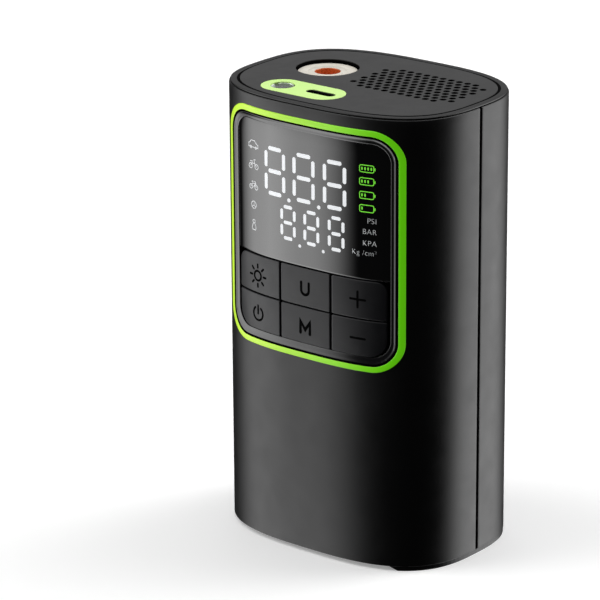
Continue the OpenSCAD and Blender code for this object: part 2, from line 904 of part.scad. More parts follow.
module cylinder_sleeve_profile() {
    fins = 5;
    fin_pitch = 3.2;
    fin_t = 1.2;
    translate([bore_r, 0]) square([cylinder_r - bore_r, cylinder_h]);
    for (i = [0:fins - 1]) translate([cylinder_r - 0.5, 2 + i * fin_pitch])
        square([fin_r - cylinder_r + 0.5, fin_t]);
}

module cylinder_sleeve() {
    color("#b9bcc0") translate([gear_x, pump_y, cylinder_z])
        rotate_extrude() cylinder_sleeve_profile();
}

// One-piece rod and piston: the eye is level with the crank pin at the lowest stroke
module piston_rod() {
    eye_r = 4;
    half_w = 1.8;
    land_h = 1.2;
    groove_r = piston_r - 2;
    eye_z = gear_z - crank_r;
    color("#d9d9d9") difference() {
        union() {
            rod_y(gear_x, eye_z, rod_y0, rod_y0 + rod_t, eye_r);
            box([gear_x - half_w, rod_y0, eye_z + eye_r / 2],
                [gear_x + half_w, rod_y0 + rod_t, piston_z + land_h / 2]);
            rod_z(gear_x, pump_y, piston_z, piston_z + land_h, piston_r - 1);
            rod_z(gear_x, pump_y, piston_z, piston_z + piston_h, groove_r);
            rod_z(gear_x, pump_y, piston_z + piston_h - 1, piston_z + piston_h, piston_r - 1);
        }
        rod_y(gear_x, eye_z, 0, far, crank_pin_r + fit);
    }
}

module piston_seal() {
    color("#1e1e1e") difference() {
        rod_z(gear_x, pump_y, piston_z + 1.25, piston_z + 2.95, bore_r - 0.06);
        rod_z(gear_x, pump_y, 0, z_top, piston_r - 2);
    }
}

module cylinder_head() {
    color("#aeb1b5") difference() {
        union() {
            rod_z(gear_x, pump_y, head_z, head_z + head_h, fin_r);
            rod_z(gear_x, pump_y, head_z + head_h - 1, tube_z0 + nipple_h, nipple_r);
        }
        rod_z(gear_x, pump_y, head_z - 1, z_top, air_bore_r);
        rod_z(gear_x, pump_y, chamber_z, chamber_z + chamber_h, chamber_r);
        for (a = [45:90:315]) translate([head_bolt_r * cos(a), head_bolt_r * sin(a), 0])
            rod_z(gear_x, pump_y, head_z + 2, z_top, head_screw_r + fit);
    }
}

module head_screws() {
    head_t = 1.2;
    z1 = head_z + head_h;
    color("silver") for (a = [45:90:315])
        translate([head_bolt_r * cos(a), head_bolt_r * sin(a), 0]) {
            rod_z(gear_x, pump_y, head_z + 2.5, z1 + head_t, head_screw_r);
            rod_z(gear_x, pump_y, z1, z1 + head_t, motor_screw_head_r);
        }
}

module check_valve() {
    color("#8c2f2f") rod_z(gear_x, pump_y, chamber_z, chamber_z + valve_t, valve_r);
}

// Coil spring: short straight links along a helix
module valve_spring() {
    turns = 3.5;
    links = 12;
    wire_r = 0.22;
    r = valve_r - 0.6;
    z0 = chamber_z + valve_t + wire_r;
    rise = chamber_h - valve_t - 2 * wire_r;
    function coil(i) = [r * cos(360 * i / links), r * sin(360 * i / links),
        rise * i / (turns * links)];
    color("silver") translate([gear_x, pump_y, z0])
        for (i = [0:turns * links - 1]) hull() {
            translate(coil(i)) sphere(wire_r, $fn = 6);
            translate(coil(i + 1)) sphere(wire_r, $fn = 6);
        }
}

// Centre line of the air tube in its own plane: [across, up, lean] at each station
function tube_line() = concat(
    [[0, 0, 0]],
    [for (i = [0:tube_bend_steps]) let (t = tube_angle * i / tube_bend_steps)
        [tube_bend_r * (1 - cos(t)), tube_straight + tube_bend_r * sin(t), t]],
    [for (i = [tube_bend_steps - 1:-1:0]) let (t = tube_angle * i / tube_bend_steps)
        [tube_offset - tube_bend_r * (1 - cos(t)), tube_rise - tube_bend_r * sin(t), t]],
    [[tube_offset, outlet_nipple_z - 0.5 - tube_z0, 0]]);

function ring_points(station, r) = [for (k = [0:tube_sides - 1])
    let (a = 360 * k / tube_sides)
    [station[0] + r * cos(a) * cos(station[2]), r * sin(a),
     station[1] - r * cos(a) * sin(station[2])]];

module air_tube() {
    line = tube_line();
    n = len(line);
    m = tube_sides;
    outer = [for (st = line) each ring_points(st, tube_ro)];
    inner = [for (st = line) each ring_points(st, tube_ri)];
    skin = [for (i = [0:n - 2], k = [0:m - 1]) let (j = (k + 1) % m)
        each [[i * m + k, (i + 1) * m + k, (i + 1) * m + j],
              [i * m + k, (i + 1) * m + j, i * m + j]]];
    bore = [for (f = skin) [f[0] + n * m, f[2] + n * m, f[1] + n * m]];
    ends = [for (k = [0:m - 1]) let (j = (k + 1) % m, e = (n - 1) * m, q = n * m)
        each [[k, j, q + j], [k, q + j, q + k],
              [e + k, e + q + j, e + j], [e + k, e + q + k, e + q + j]]];
    color("#1f1f20") translate([gear_x, pump_y, tube_z0])
        rotate([0, 0, atan2(tube_dy, tube_dx)])
            polyhedron(concat(outer, inner), concat(skin, bore, ends));
}

// ---- battery ----

module battery_cells() {
    color("#2a6fb0") for (s = [-1, 1])
        rod_z(cell_x, cell_y + s * cell_half_pitch, cell_z, cell_z + cell_h, cell_r);
}

module cell_tab() {
    color("silver") cell_strip(0, cell_z + cell_h, tab_t);
}

// The flat strip that joins the two cells, grown sideways by grow
module cell_strip(grow, z0, t) {
    translate([cell_x - tab_half_w - grow, cell_y - tab_half_l - grow, z0])
        cube([2 * (tab_half_w + grow), 2 * (tab_half_l + grow), t]);
}

module holder_plate(z0, z1) {
    translate([0, 0, z0]) linear_extrude(z1 - z0) {
        for (s = [-1, 1]) translate([cell_x, cell_y + s * cell_half_pitch]) circle(holder_r);
        translate([cell_x - holder_r, cell_y - cell_half_pitch])
            square([2 * holder_r, 2 * cell_half_pitch]);
    }
}

module battery_holder() {
    grip = 2;
    floor_t = 1.5;
    cap_t = 1.8;
    spine_t = 1.6;
    spine_half_w = 5;
    cap_z = cell_z + cell_h;
    color("#c8c8c4") difference() {
        union() {
            holder_plate(cell_z - floor_t, cell_z + grip);
            holder_plate(cap_z - grip, cap_z + cap_t);
            box([cell_x - holder_r, cell_y - spine_half_w, cell_z],
                [cell_x - holder_r + spine_t, cell_y + spine_half_w, cap_z]);
        }
        for (s = [-1, 1])
            rod_z(cell_x, cell_y + s * cell_half_pitch, cell_z, cap_z, cell_r + fit);
        cell_strip(2 * fit, cap_z - 2 * fit, tab_t + 4 * fit);
    }
}

front_shell();
rear_shell();
top_frame();
top_cover();
bottom_cover();
end_feet();
panel_ring();
panel_bezel();
display_lens();
display_module();
light_button();
unit_button();
plus_button();
power_button();
mode_button();
minus_button();
keypad_mat();
control_board();
tact_switches();
board_screws();
pressure_sensor();
port_plate();
port_board();
usb_socket();
torch_reflector();
torch_led();
torch_lens();
outlet_ring();
outlet_fitting();
air_tube();
battery_cells();
battery_holder();
cell_tab();
motor_can();
motor_end_cap();
motor_leads();
motor_screws();
motor_shaft();
pinion();
pump_frame();
gear_axle();
gear_bushing();
drive_gear();
crank_pin();
piston_rod();
piston_seal();
cylinder_sleeve();  // cylinder
cylinder_head();
head_screws();
check_valve();
valve_spring();
frame_screws();
case_screws();
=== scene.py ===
"""Looks of the portable tire inflator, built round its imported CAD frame. Units are metres."""
import json
import math

import bmesh
import bpy
from mathutils import Matrix, Vector


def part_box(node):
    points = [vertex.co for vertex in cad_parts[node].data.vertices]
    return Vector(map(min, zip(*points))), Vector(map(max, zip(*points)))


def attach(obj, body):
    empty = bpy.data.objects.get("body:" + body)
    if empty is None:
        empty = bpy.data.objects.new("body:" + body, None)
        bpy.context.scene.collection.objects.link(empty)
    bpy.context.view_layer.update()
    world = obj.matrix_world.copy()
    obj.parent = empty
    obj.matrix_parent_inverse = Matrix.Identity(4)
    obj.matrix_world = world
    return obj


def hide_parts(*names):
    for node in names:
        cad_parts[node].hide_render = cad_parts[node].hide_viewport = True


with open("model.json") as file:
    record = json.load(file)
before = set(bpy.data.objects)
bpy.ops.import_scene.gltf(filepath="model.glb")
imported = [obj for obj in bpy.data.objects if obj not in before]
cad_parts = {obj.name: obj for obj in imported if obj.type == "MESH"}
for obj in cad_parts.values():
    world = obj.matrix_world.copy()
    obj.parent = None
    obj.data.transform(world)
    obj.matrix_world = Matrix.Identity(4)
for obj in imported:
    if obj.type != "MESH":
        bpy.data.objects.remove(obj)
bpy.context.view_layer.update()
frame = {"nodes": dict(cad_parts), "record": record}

MM = 0.001

# ---- driving places, from the frame ----
SQUARENESS = 2.885
RIM_EDGE_INSET = 0.3 * MM
WALL = 2 * MM
SEAM_GAP = 0.7 * MM
_, rim_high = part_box("top_frame")
HALF_W = rim_high.x + RIM_EDGE_INSET
HALF_D = rim_high.y + RIM_EDGE_INSET
TOP_Z = rim_high.z
shell_low, shell_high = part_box("rear_shell")
ring_low, ring_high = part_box("panel_ring")
lens_low, lens_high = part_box("display_lens")
outlet_low, outlet_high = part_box("outlet_ring")
torch_low, torch_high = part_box("torch_reflector")
BODY = "casing"
RING_R = 8.6 * MM
RING_STEPS = 16
WINDOW_INSET = 3.25 * MM
FACE_DEPTH = 0.6 * MM
WINDOW_R = 5.4 * MM
BEND_STEP = 1.0 * MM
OUTLINE_STEP = 0.9 * MM
OUTLINE_SAMPLES = 4000
SMOOTH_ANGLE = math.radians(32)
SAME_POINT = 1e-7
DRAWN_Z = shell_low.z


# ---- mesh helpers ----

def quarter(steps):
    """Sine and cosine pairs along a quarter turn, from (0, 1) to (1, 0)."""
    for k in range(steps + 1):
        a = math.pi / 2 * k / steps
        yield math.sin(a), math.cos(a)


def superellipse(t):
    """A point of the body outline and its inward normal."""
    c, s = math.cos(t), math.sin(t)
    power = 2 / SQUARENESS
    x = HALF_W * math.copysign(abs(c) ** power, c)
    y = HALF_D * math.copysign(abs(s) ** power, s)
    nx = math.copysign(abs(x / HALF_W) ** (SQUARENESS - 1) / HALF_W, x)
    ny = math.copysign(abs(y / HALF_D) ** (SQUARENESS - 1) / HALF_D, y)
    return Vector((x, y)), Vector((-nx, -ny)).normalized()


def even_outline(t0, t1, spacing):
    """Points of the outline between two angles, evenly spaced along it."""
    dense = [superellipse(t0 + (t1 - t0) * i / OUTLINE_SAMPLES)
             for i in range(OUTLINE_SAMPLES + 1)]
    length = [0.0]
    for a, b in zip(dense, dense[1:]):
        length.append(length[-1] + (b[0] - a[0]).length)
    count = max(4, round(length[-1] / spacing))
    picked, j = [], 0
    for k in range(count + 1):
        goal = length[-1] * k / count
        while j < OUTLINE_SAMPLES and length[j] < goal:
            j += 1
        picked.append(dense[j])
    return picked


def front_y(x):
    """Depth of the front surface at x, and its inward normal there."""
    widest = 0.999
    u = min(abs(x / HALF_W), widest)
    rest = 1 - u ** SQUARENESS
    y = -HALF_D * rest ** (1 / SQUARENESS)
    slope = HALF_D * rest ** (1 / SQUARENESS - 1) * u ** (SQUARENESS - 1) / HALF_W
    slope = math.copysign(slope, x)
    return y, Vector((-slope, 1)).normalized()


def wrap(bm):
    """Bends a flat solid, drawn as (x, depth, z), onto the front of the body."""
    xs = [v.co.x for v in bm.verts]
    first = math.floor(min(xs) / BEND_STEP) + 1
    last = math.ceil(max(xs) / BEND_STEP)
    for k in range(first, last):
        geom = bm.verts[:] + bm.edges[:] + bm.faces[:]
        bmesh.ops.bisect_plane(bm, geom=geom, dist=SAME_POINT,
                               plane_co=(k * BEND_STEP, 0, 0), plane_no=(1, 0, 0))
    for v in bm.verts:
        y, inward = front_y(v.co.x)
        v.co.x, v.co.y = v.co.x + inward.x * v.co.y, y + inward.y * v.co.y


def mark_smooth(mesh):
    """Smooth shading, with sharp edges where two faces meet at more than SMOOTH_ANGLE."""
    bm = bmesh.new()
    bm.from_mesh(mesh)
    for e in bm.edges:
        e.smooth = len(e.link_faces) == 2 and e.calc_face_angle(0) < SMOOTH_ANGLE
    for f in bm.faces:
        f.smooth = True
    bm.to_mesh(mesh)
    bm.free()


def add_piece(name, bm, body, finish, replaces=()):
    """Turns a bmesh into a finished piece that rides on a body."""
    bmesh.ops.remove_doubles(bm, verts=bm.verts[:], dist=SAME_POINT)
    bmesh.ops.recalc_face_normals(bm, faces=bm.faces[:])
    mesh = bpy.data.meshes.new(name)
    bm.to_mesh(mesh)
    bm.free()
    mark_smooth(mesh)
    mesh.materials.append(finish)
    obj = bpy.data.objects.new(name, mesh)
    bpy.context.scene.collection.objects.link(obj)
    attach(obj, body)
    if replaces:
        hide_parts(*replaces)
    return obj


def loft(rings, closed=False):
    """A solid from rings of equal length, each a list of 3-D points, capped unless closed."""
    bm = bmesh.new()
    rows = [[bm.verts.new(p) for p in ring] for ring in rings]
    pairs = list(zip(rows, rows[1:]))
    if closed:
        pairs.append((rows[-1], rows[0]))
    for low, high in pairs:
        n = len(low)
        for i in range(n):
            j = (i + 1) % n
            bm.faces.new((low[i], low[j], high[j], high[i]))
    if not closed:
        bm.faces.new(rows[0][::-1])
        bm.faces.new(rows[-1])
    return bm


def corner_outline(x0, x1, z0, z1, radii, inset=0.0, steps=12):
    """Closed outline in x and z; radii run from the lower left, anticlockwise."""
    least_r = 0.02 * MM
    x0, x1, z0, z1 = x0 + inset, x1 - inset, z0 + inset, z1 - inset
    points = []
    corners = ((x0, z0, 1, 1, 180), (x1, z0, -1, 1, 270), (x1, z1, -1, -1, 0),
               (x0, z1, 1, -1, 90))
    for (cx, cz, sx, sz, start), radius in zip(corners, radii):
        r = max(radius - inset, least_r)
        for k in range(steps + 1):
            a = math.radians(start + 90 * k / steps)
            points.append((cx + sx * r + r * math.cos(a), cz + sz * r + r * math.sin(a)))
    return points


def plate_profile(front, back, fillet, steps=5):
    """(inset, depth) pairs from the back edge round a front fillet."""
    rows = [(0.0, back)]
    rows += [(fillet * (1 - c), front + fillet * (1 - s)) for s, c in quarter(steps)]
    return rows


def flat_plate(outline, profile):
    """Solid plate drawn flat: outline(inset) lofted through (inset, depth) pairs."""
    return loft([[(x, depth, z) for x, z in outline(inset)] for inset, depth in profile])


def lathe(profile, x, y, segments=96):
    """Closed solid of revolution about a vertical axis from (radius, z) pairs."""
    rings = []
    for k in range(segments):
        a = 2 * math.pi * k / segments
        rings.append([(x + r * math.cos(a), y + r * math.sin(a), z) for r, z in profile])
    return loft(rings, closed=True)


def ribbon(bm, points, width, front, back, closed=False):
    """Adds a stroke of even width along a line in x and z, between two depths."""
    thinnest, sharpest = 0.04, 0.4
    pts = [Vector(p) for p in points]
    half = [width / 2] * len(pts)
    if not closed:
        for end in (0, -1):
            away = (pts[end] - pts[1 if end == 0 else -2]).normalized()
            tip = pts[end].copy()
            extra = [(tip + away * (width / 2) * s, width / 2 * max(c, thinnest))
                     for s, c in quarter(5)][1:]
            for p, h in extra:
                if end == 0:
                    pts.insert(0, p)
                    half.insert(0, h)
                else:
                    pts.append(p)
                    half.append(h)
    n = len(pts)
    left, right = [], []
    for i, p in enumerate(pts):
        before = pts[i - 1] if (closed or i > 0) else None
        after = pts[(i + 1) % n] if (closed or i < n - 1) else None
        d1 = (p - before).normalized() if before is not None else (after - p).normalized()
        d2 = (after - p).normalized() if after is not None else d1
        heading = (d1 + d2).normalized()
        side = Vector((-heading.y, heading.x))
        grow = 1 / max(sharpest, side.dot(Vector((-d1.y, d1.x))))
        left.append(p + side * half[i] * grow)
        right.append(p - side * half[i] * grow)
    rows = []
    for a, b in zip(left, right):
        rows.append([bm.verts.new((q.x, depth, q.y)) for q, depth in
                     ((a, front), (b, front), (b, back), (a, back))])
    pairs = list(zip(rows, rows[1:]))
    if closed:
        pairs.append((rows[-1], rows[0]))
    for low, high in pairs:
        for i in range(4):
            j = (i + 1) % 4
            bm.faces.new((low[i], low[j], high[j], high[i]))
    if not closed:
        bm.faces.new(rows[0])
        bm.faces.new(rows[-1][::-1])


def arc(cx, cz, r, a0, a1, steps=24):
    """Points along a circle between two angles in degrees."""
    return [(cx + r * math.cos(math.radians(a0 + (a1 - a0) * k / steps)),
             cz + r * math.sin(math.radians(a0 + (a1 - a0) * k / steps)))
            for k in range(steps + 1)]


def circle(cx, cz, r, steps=28):
    """Points of a whole circle, without the repeated last one."""
    return arc(cx, cz, r, 0, 360, steps)[:-1]


def drawing(name, strokes, body, finish, front, back):
    """One piece from many strokes: (points in mm, width in mm, closed)."""
    bm = bmesh.new()
    for points, width, closed in strokes:
        placed = [(x * MM, z * MM + DRAWN_Z) for x, z in points]
        ribbon(bm, placed, width * MM, front, back, closed)
    wrap(bm)
    add_piece(name, bm, body, finish)


# ---- materials ----

def node(tree, kind, **values):
    """Adds a shader node and sets its inputs or properties by name."""
    made = tree.nodes.new(kind)
    for key, value in values.items():
        if key in made.inputs:
            made.inputs[key].default_value = value
        else:
            setattr(made, key, value)
    return made


def noise_at(tree, scale, detail, stretch=(1, 1, 1)):
    """Noise in the object's own coordinates; scale is in features a metre."""
    coord = tree.nodes.new("ShaderNodeTexCoord")
    mapping = node(tree, "ShaderNodeMapping")
    mapping.inputs["Scale"].default_value = stretch
    made = node(tree, "ShaderNodeTexNoise", Scale=scale, Detail=detail)
    tree.links.new(coord.outputs["Object"], mapping.inputs["Vector"])
    tree.links.new(mapping.outputs["Vector"], made.inputs["Vector"])
    return made.outputs["Fac"]


def ranged(tree, value, low, high, from_low=0.3, from_high=0.7):
    """Maps a value from one range to another; the default range is that of noise."""
    made = tree.nodes.new("ShaderNodeMapRange")
    made.inputs["From Min"].default_value = from_low
    made.inputs["From Max"].default_value = from_high
    made.inputs["To Min"].default_value = low
    made.inputs["To Max"].default_value = high
    tree.links.new(value, made.inputs["Value"])
    return made.outputs["Result"]


def mixed(tree, factor, a, b):
    """Blend of two colours, each a tuple or another node's output."""
    colour_a, colour_b, colour_out = 6, 7, 2
    made = tree.nodes.new("ShaderNodeMix")
    made.data_type = "RGBA"
    for socket, value in ((colour_a, a), (colour_b, b)):
        if isinstance(value, tuple):
            made.inputs[socket].default_value = (*value, 1)
        else:
            tree.links.new(value, made.inputs[socket])
    tree.links.new(factor, made.inputs[0])
    return made.outputs[colour_out]


def edge_mask(tree, radius):
    """Near 1 along outward edges, 0 on open faces."""
    sharp, flat_enough = 0.80, 0.98
    bevel = node(tree, "ShaderNodeBevel", samples=4, Radius=radius)
    surface = tree.nodes.new("ShaderNodeNewGeometry")
    dot = tree.nodes.new("ShaderNodeVectorMath")
    dot.operation = "DOT_PRODUCT"
    tree.links.new(bevel.outputs["Normal"], dot.inputs[0])
    tree.links.new(surface.outputs["Normal"], dot.inputs[1])
    return ranged(tree, dot.outputs["Value"], 1.0, 0.0, sharp, flat_enough)


def along(tree, axis, start, end):
    """0 to 1 between two places along one of the object's axes."""
    coord = tree.nodes.new("ShaderNodeTexCoord")
    split = tree.nodes.new("ShaderNodeSeparateXYZ")
    tree.links.new(coord.outputs["Object"], split.inputs[0])
    return ranged(tree, split.outputs[axis], 0.0, 1.0, start, end)


def maths(tree, operation, a, b):
    """A maths node on two values, each a number or another node's output."""
    made = tree.nodes.new("ShaderNodeMath")
    made.operation = operation
    for socket, value in enumerate((a, b)):
        if isinstance(value, (int, float)):
            made.inputs[socket].default_value = value
        else:
            tree.links.new(value, made.inputs[socket])
    return made.outputs[0]


def material(name, colour, tint=None, rough=(0.35, 0.45), metal=0.0, blotch=160.0,
             grain=0.04, grain_scale=3500.0, coat=0.0, wear=None, stretch=(1, 1, 1),
             specular=0.5, transmission=0.0, glow=0.0, far_end=None, shine_from=None,
             shade_below=None):
    """Procedural finish: broad colour variation, uneven roughness, fine grain, worn edges.

    far_end is another colour with the axis and places between which it takes over; where used it
    is painted shade or a painted dark reflection. shine_from is the axis and places between which
    the reflection grows to its full strength, a painted fade of the reflection. Below the height
    shade_below the finish turns dark and dull: painted shade in vents, slots and recesses.
    """
    fade_depth, worn_radius = 0.3 * MM, 0.25 * MM
    least_coat, least_specular = 0.1, 0.4
    mat = bpy.data.materials.new(name)
    mat.use_nodes = True
    tree = mat.node_tree
    shader = tree.nodes["Principled BSDF"]
    broad = noise_at(tree, blotch, 4.0, stretch)
    tint = tint or tuple(c * 0.8 for c in colour)
    base = mixed(tree, ranged(tree, broad, 0.0, 1.0), colour, tint)
    # painted shade or painted dark reflection: another colour takes over along an axis
    if far_end is not None:
        base = mixed(tree, along(tree, *far_end[1:]), base, far_end[0])
    if shade_below is not None:
        # painted shade: below this height the colour and the reflection are darkened
        recess_shade = along(tree, "Z", shade_below, shade_below - fade_depth)
        base = mixed(tree, recess_shade, base, tuple(c * 0.1 for c in colour))
        tree.links.new(maths(tree, "MULTIPLY", maths(tree, "SUBTRACT", 1.0, recess_shade), specular),
                       shader.inputs["Specular IOR Level"])
    if wear is not None:
        breakup = ranged(tree, noise_at(tree, 900.0, 5.0), 0.0, 0.7, 0.4, 0.75)
        worn = maths(tree, "MULTIPLY", edge_mask(tree, worn_radius), breakup)
        base = mixed(tree, worn, base, wear)
    tree.links.new(base, shader.inputs["Base Color"])
    smear = noise_at(tree, blotch * 3.1, 5.0, stretch)
    tree.links.new(ranged(tree, smear, *rough), shader.inputs["Roughness"])
    shader.inputs["Metallic"].default_value = metal
    shader.inputs["Specular IOR Level"].default_value = specular
    shader.inputs["Coat Weight"].default_value = coat
    # painted fade: coat and reflection are weaker at the start of the axis
    if shine_from is not None:
        grown = along(tree, *shine_from)
        for socket, full, least in (("Coat Weight", coat, least_coat),
                                    ("Specular IOR Level", specular, least_specular)):
            tree.links.new(ranged(tree, grown, least * full, full, 0.0, 1.0),
                           shader.inputs[socket])
    shader.inputs["Coat Roughness"].default_value = 0.08
    shader.inputs["Transmission Weight"].default_value = transmission
    # glow is real light on the display marks, an even brightness on the floor, and painted light
    # on the lime, pale lime, copper and reflector finishes
    if glow:
        tree.links.new(base, shader.inputs["Emission Color"])
        shader.inputs["Emission Strength"].default_value = glow
    fine = noise_at(tree, grain_scale, 2.0, stretch)
    bump = node(tree, "ShaderNodeBump", Strength=grain, Distance=0.02 * MM)
    tree.links.new(fine, bump.inputs["Height"])
    tree.links.new(bump.outputs["Normal"], shader.inputs["Normal"])
    return mat


def make_materials():
    """The finishes by material slot, plus a few for pieces that need their own."""
    m = {}
    m["shell"] = material("shell_plastic", (0.006, 0.006, 0.0064), (0.0045, 0.0045, 0.005),
                          rough=(0.36, 0.42), blotch=55, grain=0.25, grain_scale=5200,
                          wear=(0.03, 0.03, 0.031), specular=0.42)
    m["trim"] = material("trim_plastic", (0.030, 0.030, 0.031), (0.024, 0.024, 0.025),
                         rough=(0.42, 0.50), blotch=70, grain=0.3, grain_scale=5200,
                         wear=(0.05, 0.05, 0.05))
    m["bezel"] = material("bezel_plastic", (0.008, 0.008, 0.009), rough=(0.15, 0.20),
                          blotch=90, grain=0.06, coat=0.35, wear=(0.02, 0.02, 0.021))
    # near-black, almost unreflecting finish put in the grooves: painted shade
    m["gap"] = material("painted_gap_shade", (0.0015, 0.0015, 0.0015), rough=(0.85, 0.95), grain=0.3,
                        specular=0.03)
    # shade_below paints shade into the vents and the recess below the top face
    m["cover"] = material("cover_plastic", (0.025, 0.025, 0.0255), (0.021, 0.021, 0.0215),
                          rough=(0.42, 0.48), blotch=70, grain=0.3, grain_scale=5200,
                          shade_below=TOP_Z - 0.02 * MM, wear=(0.03, 0.03, 0.03))
    m["feet"] = m["shell"]
    # glow is painted light on the ring, and the darker green far end towards +X is painted shade
    m["lime"] = material("lime_gloss", (0.49, 0.77, 0.035), (0.46, 0.74, 0.03),
                         rough=(0.34, 0.40), blotch=120, grain=0.08, glow=0.48,
                         wear=(0.60, 0.86, 0.10),
                         far_end=((0.13, 0.64, 0.004), "X", -0.020, 0.026))
    # glow is painted light: this plastic is no lamp
    m["pale_lime"] = material("pale_lime_plastic", (0.63, 0.92, 0.29), (0.58, 0.89, 0.24),
                              rough=(0.30, 0.38), blotch=90, grain=0.10, coat=0.15, glow=0.1,
                              wear=(0.70, 0.94, 0.42))
    # shine_from paints a fade: the lens reflection is weakened towards its left edge
    m["display_glass"] = material("smoked_glass", (0.003, 0.003, 0.0035),
                                  rough=(0.045, 0.075), blotch=40, coat=0.9,
                                  shine_from=("X", lens_low.x, lens_low.x + 14 * MM))
    m["display_light"] = material("lit_segment", (0.80, 0.82, 0.84), (0.74, 0.76, 0.78),
                                  rough=(0.5, 0.6), blotch=600, glow=0.56, specular=0.2)
    m["dim_light"] = material("dim_segment", (0.62, 0.64, 0.65), (0.55, 0.57, 0.58),
                              rough=(0.5, 0.6), blotch=600, glow=0.45, specular=0.2)
    m["green_light"] = material("lit_green", (0.17, 0.66, 0.045), (0.14, 0.60, 0.035),
                                rough=(0.5, 0.6), blotch=600, glow=0.7, specular=0.2)
    m["faint_print"] = material("faint_print", (0.52, 0.53, 0.54), rough=(0.5, 0.6),
                                blotch=600, glow=0.85, specular=0.2)
    m["button"] = material("key_plastic", (0.012, 0.012, 0.014), (0.009, 0.009, 0.011),
                           rough=(0.34, 0.42), blotch=110, grain=0.22, grain_scale=4800,
                           wear=(0.045, 0.045, 0.05), specular=0.34)
    m["icon"] = material("icon_ink", (0.001, 0.001, 0.001), rough=(0.8, 0.95), blotch=500,
                         specular=0.05)
    m["silicone"] = material("silicone", (0.015, 0.015, 0.016), rough=(0.55, 0.65), grain=0.3)
    m["board"] = material("solder_mask", (0.008, 0.09, 0.03), (0.006, 0.07, 0.02),
                          rough=(0.25, 0.35), blotch=400, grain=0.2, coat=0.3)
    m["switch"] = material("switch_body", (0.02, 0.02, 0.022), rough=(0.4, 0.5), grain=0.2)
    m["screw"] = material("zinc_screw", (0.60, 0.60, 0.62), (0.50, 0.50, 0.53),
                          rough=(0.22, 0.36), metal=1.0, blotch=700, grain=0.25,
                          wear=(0.8, 0.8, 0.82))
    m["steel"] = material("ground_steel", (0.62, 0.63, 0.64), rough=(0.16, 0.3), metal=1.0,
                          blotch=400, grain=0.2, stretch=(1, 8, 1))
    # shade_below paints shade inside the socket below the top face
    m["socket"] = material("stamped_shell", (0.035, 0.035, 0.038), rough=(0.3, 0.42),
                           metal=0.8, blotch=500, grain=0.15, shade_below=TOP_Z - 0.3 * MM)
    # glow is painted light on the reflector, and the dark far end along Y is a painted dark
    # reflection
    m["reflector"] = material("vacuum_chrome", (0.90, 0.93, 0.90), rough=(0.30, 0.36),
                              metal=0.9, blotch=300, glow=0.55,
                              far_end=((0.004, 0.012, 0.006), "Y", -0.0162, -0.0150))
    m["led"] = material("led_phosphor", (0.010, 0.022, 0.010), (0.006, 0.012, 0.006),
                        rough=(0.2, 0.3), blotch=900)
    m["clear"] = material("clear_lens", (0.97, 0.99, 1.0), (0.95, 0.98, 0.98),
                          rough=(0.02, 0.05), blotch=200, transmission=1.0)
    m["ivory"] = material("ivory_ring", (0.80, 0.76, 0.67), (0.74, 0.69, 0.60),
                          rough=(0.28, 0.40), blotch=260, grain=0.25, grain_scale=2600,
                          coat=0.2)
    # glow is painted light on the copper
    m["copper"] = material("copper_insert", (0.66, 0.17, 0.05), (0.54, 0.12, 0.03),
                           rough=(0.22, 0.34), metal=0.55, blotch=500, grain=0.2,
                           wear=(0.85, 0.45, 0.25), glow=0.16)
    m["brass"] = material("turned_brass", (0.74, 0.52, 0.17), (0.66, 0.44, 0.13),
                          rough=(0.18, 0.3), metal=1.0, blotch=500, grain=0.2)
    m["tube"] = material("tube_rubber", (0.02, 0.02, 0.02), rough=(0.45, 0.6), grain=0.3)
    m["cell"] = material("cell_sleeve", (0.02, 0.13, 0.42), (0.015, 0.10, 0.36),
                         rough=(0.2, 0.3), blotch=150, coat=0.3)
    m["holder"] = material("holder_plastic", (0.50, 0.50, 0.47), rough=(0.4, 0.5), grain=0.2)
    m["motor_steel"] = material("motor_can", (0.48, 0.49, 0.50), (0.40, 0.41, 0.42),
                                rough=(0.22, 0.36), metal=1.0, blotch=250, grain=0.2,
                                stretch=(1, 6, 1))
    m["nylon"] = material("natural_nylon", (0.78, 0.75, 0.66), (0.72, 0.68, 0.58),
                          rough=(0.35, 0.45), blotch=200, grain=0.2)
    m["leads"] = material("lead_sleeve", (0.32, 0.02, 0.02), rough=(0.4, 0.5), blotch=300)
    m["frame_plastic"] = material("glass_filled", (0.045, 0.048, 0.052), rough=(0.5, 0.6),
                                  grain=0.5, grain_scale=1800, wear=(0.1, 0.1, 0.1))
    m["bronze"] = material("sintered_bronze", (0.48, 0.30, 0.13), rough=(0.35, 0.5),
                           metal=1.0, blotch=900, grain=0.4)
    m["cast_alloy"] = material("cast_alloy", (0.62, 0.63, 0.65), (0.54, 0.55, 0.57),
                               rough=(0.35, 0.5), metal=1.0, blotch=500, grain=0.5,
                               grain_scale=1600)
    m["valve_rubber"] = material("valve_rubber", (0.28, 0.04, 0.035), rough=(0.5, 0.6))
    return m


FINISH = make_materials()


def finish_cad_nodes():
    """Each CAD node that stays gets the finish of its material slot, and softened edges."""
    hard_angle = math.radians(40)
    soft_mm = {"top_cover": 0.10, "bottom_cover": 0.25, "end_feet": 0.35, "port_plate": 0.12,
               "case_screws": 0.12, "usb_socket": 0.05, "outlet_fitting": 0.08}
    for part in frame["record"]["subparts"]:
        obj = frame["nodes"][part["node"]]
        obj.data.materials.clear()
        # the top cover gets its own finish, with painted shade in its vents and recess
        finish = "cover" if part["node"] == "top_cover" else part["material_slot"]
        obj.data.materials.append(FINISH[finish])
        width = soft_mm.get(part["node"])
        if width:
            bevel = obj.modifiers.new("soft_edges", "BEVEL")
            bevel.width = width * MM
            bevel.segments = 2
            bevel.limit_method = "ANGLE"
            bevel.angle_limit = hard_angle
            bevel.harden_normals = False


# ---- casing ----

